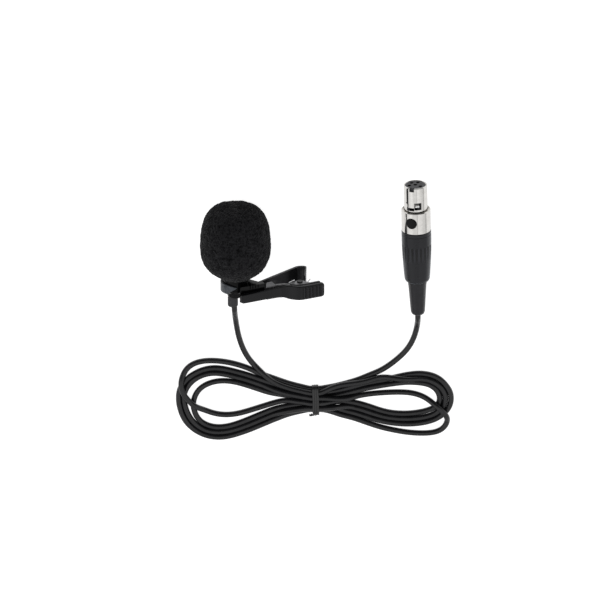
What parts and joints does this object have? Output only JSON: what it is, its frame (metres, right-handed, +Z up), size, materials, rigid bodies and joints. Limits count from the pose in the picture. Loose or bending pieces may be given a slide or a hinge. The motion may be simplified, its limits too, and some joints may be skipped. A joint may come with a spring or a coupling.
{
  "type": "lavalier microphone",
  "caption": "Lapel microphone with a foam windscreen, a sprung swivelling clip, a thin cable tied in a bow and a small latching multi-contact plug.",
  "frame": {"origin": "on the surface the microphone lies on, under the middle of the box round the microphone and its clip, cable and plug left out", "axes": "+X to the clip's lever end, +Y along the microphone's axis to the windscreen's nose, +Z up from the surface"},
  "size_m": [0.1028, 0.1037, 0.026],
  "materials": {
    "foam": "open-cell foam, matt black",
    "barrel_black": "gloss black",
    "grille_black": "satin black",
    "capsule_metal": "bare",
    "inner_rubber": "matt",
    "circuit_board": "solder mask",
    "wire": "insulated wire",
    "relief_black": "moulded, matt",
    "ring_grey": "satin blue-black",
    "arm_black": "gloss black plating",
    "lever_black": "satin moulded",
    "liner_steel": "dark rolled steel",
    "pin_steel": "turned, blackened",
    "spring_steel": "bright drawn wire",
    "cable_black": "extruded jacket, slight sheen",
    "tie_black": "thin band",
    "nickel": "bright nickel plate",
    "insert_grey": "moulded insulator",
    "contact_gold": "dull gold flash",
    "latch_steel": "bright spring steel",
    "button_black": "gloss moulded",
    "clamp_metal": "bare",
    "boot_black": "satin moulded",
    "boot_relief_black": "moulded, satin"
  },
  "bodies": {
    "microphone": {"mic_housing": "barrel_black", "mic_grille": "grille_black", "electret_capsule": "capsule_metal", "capsule_holder": "inner_rubber", "capsule_board": "circuit_board", "mic_wires": "wire", "rear_cap": "barrel_black", "strain_relief": "relief_black", "cable_mic_lead": "cable_black", "cable_hank": "cable_black", "cable_tie": "tie_black", "cable_connector_lead": "cable_black", "connector_nose": "nickel", "contact_insert": "insert_grey", "contact_1": "contact_gold", "contact_2": "contact_gold", "contact_3": "contact_gold", "contact_4": "contact_gold", "contact_5": "contact_gold", "latch_spring": "latch_steel", "connector_collar": "nickel", "cable_clamp": "clamp_metal", "connector_wires": "wire", "connector_boot": "boot_black", "boot_relief": "boot_relief_black"},
    "foam": {"windscreen": "foam"},
    "clip": {"holder_ring": "ring_grey", "clip_arm": "arm_black", "clip_spring": "spring_steel"},
    "lever": {"clip_lever": "lever_black", "lever_liner": "liner_steel", "clip_pin": "pin_steel"},
    "latch": {"latch_plate": "latch_steel", "latch_button": "button_black"}
  },
  "joints": [
    {"name": "windscreen_slide", "type": "slide", "parent": "microphone", "child": "foam", "axis": [0, 1, 0], "range_m": [0, 0.0136]},
    {"name": "clip_swivel", "type": "hinge", "parent": "microphone", "child": "clip", "pos_m": [-0.0097, -0.0118, 0.013], "axis": [0, 1, 0], "continuous": true},
    {"name": "lever_squeeze", "type": "hinge", "parent": "clip", "child": "lever", "pos_m": [0.01391, -0.0134, 0.01258], "axis": [0, 1, 0], "range_deg": [0, 18], "stiffness_Nm_per_rad": 0.03, "springref_deg": -28.65, "deforming": ["clip_spring"]},
    {"name": "latch_press", "type": "slide", "parent": "microphone", "child": "latch", "axis": [0.3337, 0.0065, -0.9426], "range_m": [0, 0.0006], "stiffness_N_per_m": 600, "springref_m": -0.0005, "deforming": ["latch_spring"]}
  ]
}
